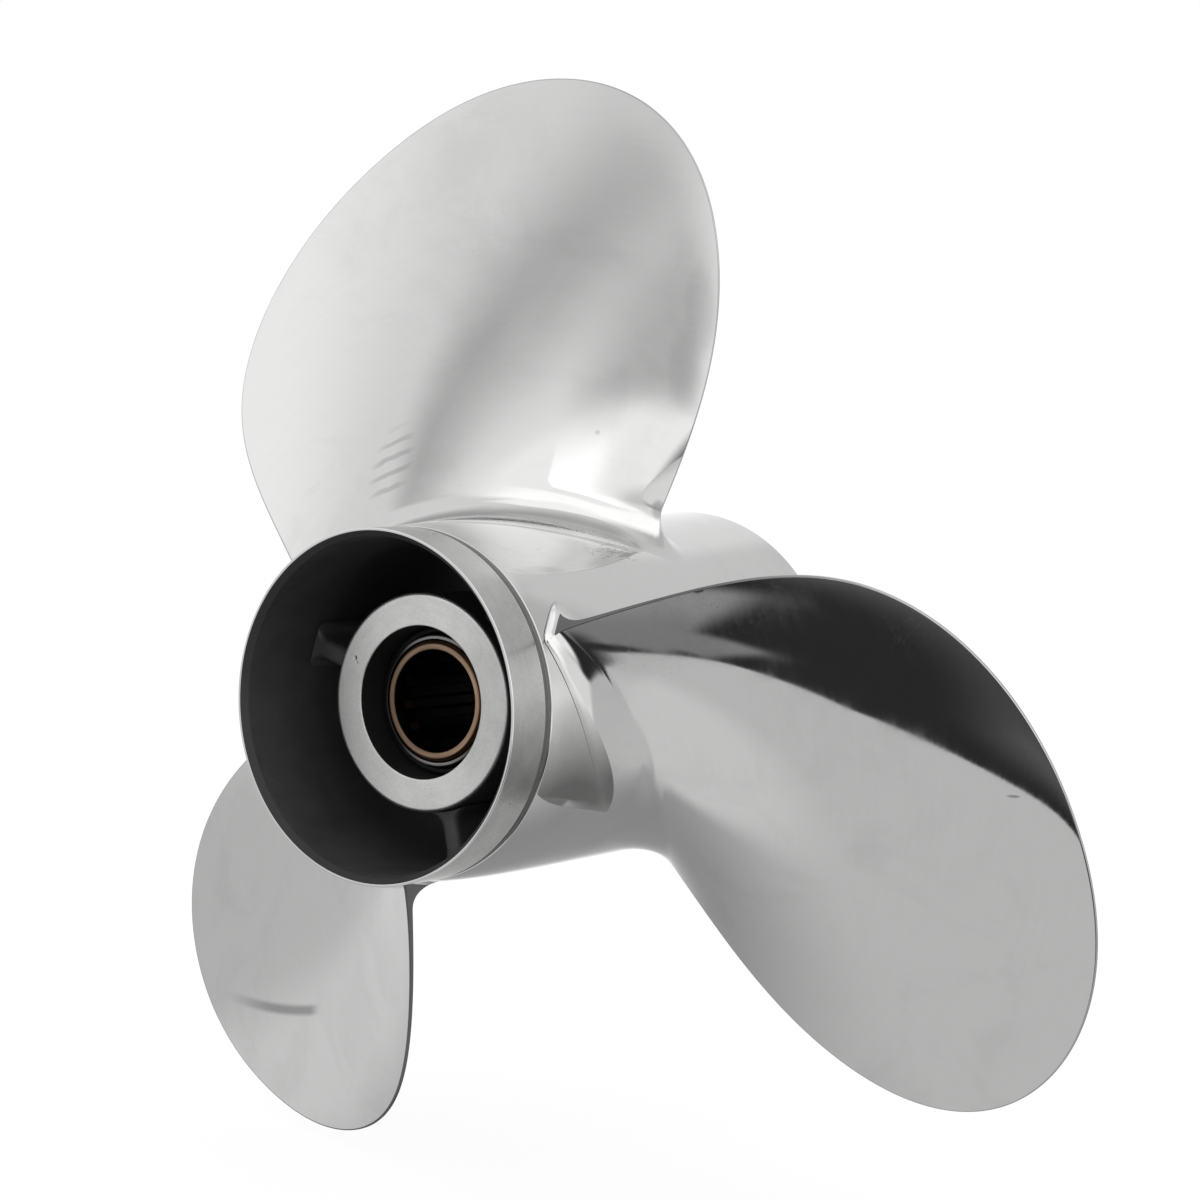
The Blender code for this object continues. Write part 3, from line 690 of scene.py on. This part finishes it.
def polished(name, on_radius, on_length, along, wave=1.0, tone=STEEL, base_rough=0.012,
             marks=None):
    """Polished stainless: long shallow waves left by grinding, fine arcs left
    by the buffing wheel, thin smears and a few hairline scratches."""
    m = Surface(name, 0.07, 1.0, (STEEL, STEEL, STEEL * 0.995))
    broad = m.noise(m.pos, 22.0, 1.0, 0.4)
    facet = m.noise(m.pos, 75.0, 2.0, 0.5)
    arcs = m.noise(m.turned(820.0, along, on_radius, on_length), 1.0, 2.0, 0.6)
    smear = m.noise(m.pos, 38.0, 4.0, 0.62, 0.6)
    smear_mask = m.ramp(smear, 0.46, 0.72)
    warped = m.noise(m.pos, 260.0, 3.0, 0.7, 2.0)
    scratch = m.math("MULTIPLY", m.ramp(warped, 0.498, 0.502),
                     m.ramp(warped, 0.508, 0.503))
    scratch = m.math("MULTIPLY", scratch, m.ramp(m.noise(m.pos, 30.0, 1.0), 0.60, 0.70))
    value = m.math("SUBTRACT", tone * 1.02, m.math("MULTIPLY", smear_mask, 0.045))
    value = m.math("ADD", value, m.math("MULTIPLY", m.math("SUBTRACT", arcs, 0.5), 0.03))
    value = m.math("SUBTRACT", value, m.math("MULTIPLY", scratch, 0.10))
    mark = marks(m) if marks else 0.0
    value = m.math("MULTIPLY", value, m.math("SUBTRACT", 1.0, mark))
    m.color(value, (1.0, 1.0, 0.993))
    rough = m.math("ADD", base_rough, m.math("MULTIPLY", smear_mask, 0.04))
    rough = m.math("ADD", rough, m.math("MULTIPLY", arcs, 0.04))
    rough = m.math("ADD", rough, m.math("MULTIPLY", scratch, 0.15))
    rough = m.math("ADD", rough, m.math("MULTIPLY", mark, 0.25))
    m.rough(rough)
    n = m.bump(broad, 0.000035 * wave)
    n = m.bump(facet, 0.0000035 * wave, n)
    n = m.bump(arcs, 0.0000005, n)
    m.normal(n)
    return m.mat


def machined(name, tone=STEEL, rough=0.30, lean=0.0):
    """Faced stainless: fine lathe rings, a soft grain and a few small pits, with a painted
    highlight that makes the face lighter at top and bottom than at the sides, and with lean a
    painted shade that darkens the top and lightens the bottom.
    """
    m = Surface(name, rough, 1.0, (tone, tone, tone))
    rings = m.noise(m.turned(3800.0, 2.0, 1.0, 1.0), 1.0, 2.0, 0.6)
    grain = m.noise(m.pos, 1700.0, 3.0, 0.7)
    cloud = m.noise(m.pos, 130.0, 3.0, 0.6)
    pits = m.node("ShaderNodeTexVoronoi", {"Vector": m.pos, "Scale": 330.0}).outputs["Distance"]
    keep = m.ramp(m.noise(m.pos, 90.0, 1.0), 0.60, 0.66)
    pit = m.math("MULTIPLY", m.ramp(pits, 0.22, 0.08), keep)
    value = m.math("ADD", tone * 0.93, m.math("MULTIPLY", m.math("SUBTRACT", cloud, 0.5),
                                              tone * 0.34))
    value = m.math("ADD", value, m.math("MULTIPLY", m.math("SUBTRACT", grain, 0.5),
                                        tone * 0.30))
    value = m.math("ADD", value, m.math("MULTIPLY", m.math("SUBTRACT", rings, 0.5),
                                        tone * 0.20))
    value = m.math("MULTIPLY", value, m.math("SUBTRACT", 1.0, m.math("MULTIPLY", pit, 0.5)))
    # painted highlight: lighter at top and bottom than at the sides, for the turned face's
    # highlight; lean paints shade, darker on top and lighter below
    value = m.math("MULTIPLY", value, m.ramp(m.math("MULTIPLY", m.cz, m.cz), 0.0, 1.0,
                                             0.90, 1.14))
    value = m.math("MULTIPLY", value, m.ramp(m.cz, -1.0, 1.0, 1.0 + lean, 1.0 - lean,
                                             False))
    m.color(value, (1.0, 0.995, 0.98))
    m.rough(m.math("ADD", rough, m.math("MULTIPLY", cloud, 0.12)))
    n = m.bump(rings, 0.0000022)
    n = m.bump(grain, 0.0000030, n)
    n = m.bump(m.math("SUBTRACT", 1.0, pit), 0.00012, n)
    m.normal(n)
    return m.mat


def cast_in_painted_shade(name, base=0.034, rough=0.55, metal=0.0, fleck=0.35):
    """The exhaust passage: cast skin with a fine tooth, given a near-black tone as painted
    shade, darker further aft and towards the top.
    """
    m = Surface(name, rough, metal, (base, base, base))
    tooth = m.noise(m.pos, 1500.0, 3.0, 0.65)
    cloud = m.noise(m.pos, 95.0, 4.0, 0.6, 0.4)
    value = m.math("MULTIPLY", base, m.ramp(cloud, 0.25, 0.75, 0.75, 1.35, False))
    # painted shade: darker further aft and towards the top
    value = m.math("MULTIPLY", value, m.ramp(m.y, 0.030, Y_RIM * MM, 0.35, 1.15, False))
    value = m.math("MULTIPLY", value, m.ramp(m.cz, -0.2, 1.0, 1.1, 0.4))
    value = m.math("ADD", value, m.math("MULTIPLY", m.ramp(tooth, 0.62, 0.8), base * fleck))
    m.color(value, (1.0, 0.995, 0.98))
    m.rough(m.math("ADD", rough - 0.05, m.math("MULTIPLY", cloud, 0.14)))
    n = m.bump(tooth, 0.000022)
    n = m.bump(cloud, 0.00016, n)
    m.normal(n)
    return m.mat


def bronze(name, base, rough, tint, top_bottom_highlight=0.0, edge_darkening=None, lean=0.0):
    m = Surface(name, rough, 1.0, tuple(base * t for t in tint))
    rings = m.noise(m.turned(3000.0, 3.0, 1.0, 1.0), 1.0, 2.0, 0.6)
    cloud = m.noise(m.pos, 420.0, 3.0, 0.6)
    value = m.math("ADD", base * 0.9, m.math("MULTIPLY", cloud, base * 0.25))
    value = m.math("ADD", value, m.math("MULTIPLY", m.math("SUBTRACT", rings, 0.5), base * 0.2))
    # painted highlight: lighter at top and bottom than at the sides
    value = m.math("MULTIPLY", value, m.ramp(m.math("MULTIPLY", m.cz, m.cz), 0.45, 1.0,
                                             1.0 - top_bottom_highlight, 1.0))
    # painted shade: darker towards -x and lighter towards +x
    value = m.math("MULTIPLY", value, m.ramp(m.cx, -1.0, 1.0, 1.0 - lean, 1.0 + lean, False))
    if edge_darkening:
        # darker towards the inner and outer edges of the face, with faint turned rings
        inner, outer, width = edge_darkening
        value = m.math("MULTIPLY", value, m.ramp(m.r, inner, inner + width, 0.30, 1.0))
        value = m.math("MULTIPLY", value, m.ramp(m.r, outer - width, outer, 1.0, 0.45))
        value = m.math("MULTIPLY", value, m.ramp(
            m.noise(m.turned(2600.0, 1.5, 1.0, 0.0), 1.0, 2.0, 0.6), 0.35, 0.65, 0.78, 1.12))
    m.color(value, tint)
    m.rough(m.math("ADD", rough - 0.04, m.math("MULTIPLY", cloud, 0.12)))
    n = m.bump(rings, 0.0000028)
    m.normal(n)
    return m.mat


def rubber(name):
    m = Surface(name, 0.6, 0.0, (0.018, 0.018, 0.018))
    grain = m.noise(m.pos, 1900.0, 3.0, 0.6)
    bloom = m.noise(m.pos, 160.0, 3.0, 0.6)
    m.shader.inputs["Specular IOR Level"].default_value = 0.25
    value = m.math("ADD", 0.003, m.math("MULTIPLY", m.ramp(bloom, 0.4, 0.8), 0.010))
    m.color(value, (1.0, 1.0, 1.02))
    m.rough(m.math("ADD", 0.48, m.math("MULTIPLY", bloom, 0.2)))
    m.normal(m.bump(grain, 0.00003))
    return m.mat


# ---- the studio: tones by direction, degrees, as the steel would show them ----
# value, then from/softness and to/softness in azimuth, the same in elevation,
# how far the azimuth leans with elevation, and straight cuts
BASE_TONES = (177, 203, -34, 24)
CARDS = (
    (130, 150, 60, 272, 80, -82, 50, -20, 26, 0, ()),        # dim corner, low and behind
    (190, -100, 30, 0, 20, -72, 8, -56, 6, 0, ()),           # paler strip of the floor
    (172, -132, 24, -62, 14, -12, 22, 34, 30, 0, ()),        # dull wall, left
    (191, -118, 14, -72, 10, -20, 8, -8, 7, 0, ()),          # strip below it
    (214, -158, 12, -136, 10, -16, 12, 22, 20, 0, ()),       # lamp behind
    (230, -74, 26, -22, 40, 20, 26, 50, 30, 0, ()),          # lamp, front left
    (248, -80, 14, -61, 12, 20, 12, 42, 12, 0, ()),          # and its bright side
    (164, 2, 18, 20, 30, 14, 22, 60, 22, 0.12, ()),         # stand between the lamps
    (253, 46, 46, 122, 26, -4, 16, 74, 20, 0, ()),           # large soft lamp, right
    (240, 88, 14, 152, 20, 54, 12, 84, 16, 0, ()),           # the ceiling it lights
    (214, 73, 10, 120, 16, -26, 6, 7, 14, 0, ()),            # its lower apron
    (172, 126, 14, 168, 16, 20, 10, 46, 10, 0, ()),          # dull wall, behind right
    (188, 152, 12, 186, 12, 14, 10, 46, 10, 0, ()),          # paler beside it
    (172, 14, 16, 39, 10, -14, 8, 15, 16, 0, ()),            # the lens and its tripod
    (231, 42, 8, 68, 10, -22, 4, 4, 8, 0, ()),
    (232, 44, 8, 84, 8, 14, 6, 34, 10, 0, ()),
    (255, 49, 12, 82, 8, 3, 12, 19.5, 1.0, 0, ()),           # bright lower half of the lamp
    (38, -11, 1.0, 76, 9, -51, 2, -19, 8, 0,
     ((0.5, 1, -47.2, -46.6), (1, 0.333, -21.8, -21.3),
      (-0.56, 1, -71.5, -66.5))),                            # black card below the lens
    (120, -6, 5, 10, 5, -38, 3, -21, 4, 0,
     ((-0.94, 1, -34.0, -28.5),)),                           # its paler upper edge
    (116, 3.2, 1.8, 30, 16, -48, 1.4, -30.8, 3.0, 0.15, ()),   # grey card in front of it
    (131, 4.0, 1.8, 30, 16, -37, 8, -30.8, 3.0, 0.15, ()),
    (42, 5, 3, 27, 8, -57.3, 2.5, -43, 6, 0,
     ((0.925, -1, 56.5, 64.5),)),                            # lower corner of the black card
    (228, -2, 6, 42, 8, -16, 6, 24, 6, 0,
     ((-0.75, -1, -22.8, -17.2), (0.75, 1, 11.0, 14.0))),    # white edge behind the lens
    (117, -1.2, 1.4, 5, 1.4, -46, 1.0, -40.8, 1.6, 0, ()),
)


# what the steel shows of steel that mirrors the studio once more
DEEP_FLOOR = (40, 30, 230, 60, -76, 92, -16, 202)
DEEP_CARDS = (
    (180, 98, 16, 176, 20, 25, 10, 56, 14, 0, ()),
    (176, 98, 20, 200, 20, 56, 14, 120, 10, 0, ()),
    (172, 78, 8, 116, 10, 6, 6, 22, 6, 0, ()),
    (207, 88, 16, 170, 16, -20, 14, 8, 8, 0, ()),
    (104, -60, 20, 45, 10, -120, 1, -75, 8, 0, ()),
)


def lay_card(g, tone, lon, lat, card):
    value, lo, s_lo, hi, s_hi, la, s_la, lb, s_lb, lean, cuts = card
    c = 0.5 * (lo + hi)
    off = g.math("SUBTRACT", lon, c)
    if lean:
        off = g.math("SUBTRACT", off, g.math("MULTIPLY", g.math(
            "SUBTRACT", lat, 0.5 * (la + lb)), lean))
    off = g.math("WRAP", off, 180.0, -180.0)
    m = g.math("MULTIPLY", g.ramp(off, lo - c - s_lo / 2, lo - c + s_lo / 2),
               g.ramp(off, hi - c - s_hi / 2, hi - c + s_hi / 2, 1.0, 0.0))
    m = g.math("MULTIPLY", m, g.ramp(lat, la - s_la / 2, la + s_la / 2))
    m = g.math("MULTIPLY", m, g.ramp(lat, lb - s_lb / 2, lb + s_lb / 2, 1.0, 0.0))
    for a, b, u, v in cuts:
        m = g.math("MULTIPLY", m, g.ramp(g.math("ADD", g.math("MULTIPLY", lon, a),
                                                g.math("MULTIPLY", lat, b)), u, v))
    return g.mix(m, tone, value if isinstance(value, bpy.types.NodeSocket) else float(value))


def studio():
    world = bpy.data.worlds.new("studio")
    bpy.context.scene.world = world
    world.use_nodes = True
    world.node_tree.nodes.clear()
    g = Graph(world.node_tree)
    sep = g.node("ShaderNodeSeparateXYZ", {0: g.node("ShaderNodeTexCoord").outputs["Generated"]})
    x, y, z = sep.outputs
    deg = 180.0 / math.pi
    lon = g.math("MULTIPLY", g.math("ARCTAN2", x, g.math("MULTIPLY", y, -1.0)), deg)
    lat = g.math("MULTIPLY", g.math("ARCSINE", z), deg)
    tone = g.ramp(lat, BASE_TONES[2], BASE_TONES[3], BASE_TONES[0], BASE_TONES[1])
    for card in CARDS:
        tone = lay_card(g, tone, lon, lat, card)
    lo, s_lo, hi, s_hi, low, dark, high, pale = DEEP_FLOOR
    fall = g.ramp(lat, low, high, float(dark), float(pale), False)
    deep = g.math("MULTIPLY", tone, 0.84)
    deep = lay_card(g, deep, lon, lat, (fall, lo, s_lo, hi, s_hi, -120, 1, -6, 10, 0, ()))
    for card in DEEP_CARDS:
        deep = lay_card(g, deep, lon, lat, card)
    path = g.node("ShaderNodeLightPath")
    again = g.math("GREATER_THAN", path.outputs["Glossy Depth"], 1.5)
    tone = g.mix(again, tone, deep)
    light = g.math("POWER", g.math("DIVIDE", g.math("ADD", g.math("DIVIDE", tone, 255.0),
                                                    0.055), 1.055), 2.4)
    bounces = g.math("MINIMUM", path.outputs["Glossy Depth"], 3.0)
    light = g.math("DIVIDE", light, g.math("POWER", STEEL, bounces))
    strength = g.mix(path.outputs["Is Glossy Ray"], 1.0, light)
    back = g.node("ShaderNodeBackground", {0: (1.0, 1.0, 1.0, 1.0), 1: strength})
    out = g.node("ShaderNodeOutputWorld", {0: back.outputs[0]})
    if hasattr(world, "cycles"):
        world.cycles.sampling_method = "NONE"
    return world


def floor():
    mesh = bpy.data.meshes.new("floor")
    z = cad_lo[2] - 0.004
    mesh.from_pydata([(-6, -6, z), (6, -6, z), (6, 6, z), (-6, 6, z)], [], [(0, 1, 2, 3)])
    obj = bpy.data.objects.new("floor", mesh)
    bpy.context.scene.collection.objects.link(obj)
    mat = bpy.data.materials.new("paper_white")
    mat.use_nodes = True
    b = mat.node_tree.nodes["Principled BSDF"]
    b.inputs["Base Color"].default_value = (0.12, 0.12, 0.12, 1)
    b.inputs["Roughness"].default_value = 1.0
    b.inputs["Specular IOR Level"].default_value = 0.0
    b.inputs["Emission Color"].default_value = (1, 1, 1, 1)
    b.inputs["Emission Strength"].default_value = 0.90
    mesh.materials.append(mat)
    obj.visible_glossy = False
    return obj


# ---- assembly ----
steel_blade = polished("polished_steel_blade", 1.0, 0.0, 8.0, marks=blade_marks_and_foot_shade)
steel_barrel = polished("polished_steel_barrel", 0.3, 1.0, 3.0, 0.6, marks=barrel_marks)
steel_edge = polished("dressed_blade_edge", 1.0, 0.0, 8.0, 1.0, 0.15, 0.10)
pale_edge = polished("buffed_blade_edge", 1.0, 0.0, 8.0, 1.0, 0.45, 0.10)
half_edge = polished("half_buffed_blade_edge", 1.0, 0.0, 8.0, 1.0, 0.45, 0.10, edge_marks)
# painted highlight: the machined materials are lighter at top and bottom than at the sides
faced = machined("machined_steel")
# painted shade: the barrel's bore and lip, the inner tube's outside and bore, and the webs get
# near-black tones for the shade inside the barrel
inside = cast_in_painted_shade("exhaust_passage")
lip_inside = cast_in_painted_shade("lip_inside", 0.0135)
tube_wall = cast_in_painted_shade("inner_tube_bore", 0.011)
cast = cast_in_painted_shade("cast_web", 0.05, 0.5, 0.0)
groove_skin = machined("unpolished_groove", 0.22, 0.42)
# painted shade: lean 0.33 makes the land darker on top and lighter below
land_skin = machined("satin_land", 0.66, 0.16, 0.33)
# painted shade: the sleeve's face is darker on its -x side
bronze_face = bronze("bronze_face", 0.30, 0.34, (1.0, 0.69, 0.47), 0.0,
                     (0.01150, 0.01292, 0.00045), 0.25)
# painted shade: the sleeve's bore is given a near-black tone for the shade inside it
bronze_bore = bronze("bronze_bore", 0.006, 0.5, (1.0, 0.62, 0.42))
bronze_edge = bronze("bronze_edge", 0.17, 0.4, (1.0, 0.50, 0.28))
# painted highlight and shade: the collar's steel is given a dark tone, lifted to full only at
# top and bottom, for the turned face's highlight
collar_steel = bronze("collar_steel", 0.24, 0.30, (1.0, 0.98, 0.96), 0.85)
black_rubber = rubber("black_rubber")


def assign(obj, rule):
    """Give each face the material slot that rule(centre, normal) picks, with
    the centre as (radius, y) in mm and the normal as (outward, aft)."""
    for p in obj.data.polygons:
        c, n = p.center, p.normal
        r = math.hypot(c.x, c.z)
        out = (n.x * c.x + n.z * c.z) / max(r, 1e-9)
        p.material_index = rule(r / MM, c.y / MM, out, n.y)


barrel = wear_object(lathe("hub_barrel", barrel_points(), 320), "outer_barrel",
                     [steel_barrel, inside, groove_skin, land_skin, lip_inside])


def barrel_rule(r, y, out, aft):
    d = y - Y_RIM
    if GROOVE_FROM + 0.15 < d < GROOVE_TO - 0.15 and out > 0.5:
        return 2
    if 0.3 < d < GROOVE_FROM - 0.2 and out > 0.5:
        return 3
    if -0.97 < out < -0.4 and 0.05 < d < 6.0:
        return 4
    return 1 if out < -0.4 and d > 0.05 else 0


assign(barrel, barrel_rule)
hub = wear_object(lathe("inner_tube", hub_points(), 240), "inner_hub",
                  [faced, inside, tube_wall])
assign(hub, lambda r, y, out, aft: 0 if abs(aft) > 0.55 else 1 if out > 0 else 2)
bush = wear_object(lathe("rubber_ring", bush_points(), 200), "rubber_bush",
                   [black_rubber])
collar = wear_object(lathe("thrust_collar", collar_points(), 200), "bush_collar",
                     [collar_steel])
sleeve = wear_object(sleeve_object("splined_sleeve"), "spline_sleeve",
                     [bronze_face, bronze_bore, bronze_edge])
assign(sleeve, lambda r, y, out, aft: 1 if r < 11.6 and 0.3 < y < Y_SLEEVE_AFT - 0.3
       else 2 if r > SLEEVE_R - SLEEVE_BEVEL else 0)
for k, psi in enumerate(RIB_PSI):
    rib = wear_object(rib_object("web_%d" % (k + 1), psi), "rib_%d" % (k + 1),
                      [cast])
for k in range(BLADE_COUNT):
    b = blade_object("blade_skin_%d" % (k + 1), 360.0 / BLADE_COUNT * k)
    slots = [p.material_index for p in b.data.polygons]
    wear_object(b, "blade_%d" % (k + 1), [steel_blade, (pale_edge, half_edge, steel_edge)[k]])
    b.data.polygons.foreach_set("material_index", slots)

studio()
floor()
bpy.context.scene.view_settings.view_transform = "Standard"
